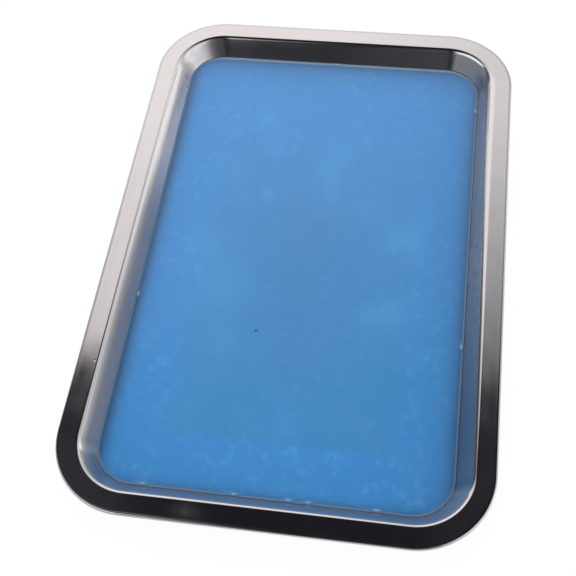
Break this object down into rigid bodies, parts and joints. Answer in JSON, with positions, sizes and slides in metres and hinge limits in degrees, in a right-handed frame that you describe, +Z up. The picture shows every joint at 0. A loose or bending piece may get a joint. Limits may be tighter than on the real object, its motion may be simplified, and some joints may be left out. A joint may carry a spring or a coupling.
{
  "type": "dissection tray",
  "caption": "Shallow rounded rectangular steel pan with a flat rim and leaning walls, part filled with a flat blue wax pad that takes dissecting pins.",
  "frame": {"origin": "middle of the pan's flat underside, on the bench", "axes": "+Z up out of the pan, +Y along its length, +X across its width"},
  "size_m": [0.2, 0.3, 0.02],
  "materials": {
    "stainless_sheet": "bright rolled sheet with a fine straight grain",
    "blue_wax": "satin, milky, slightly translucent"
  },
  "bodies": {
    "root": {"steel_pan": "stainless_sheet", "wax_pad": "blue_wax"}
  },
  "joints": []
}
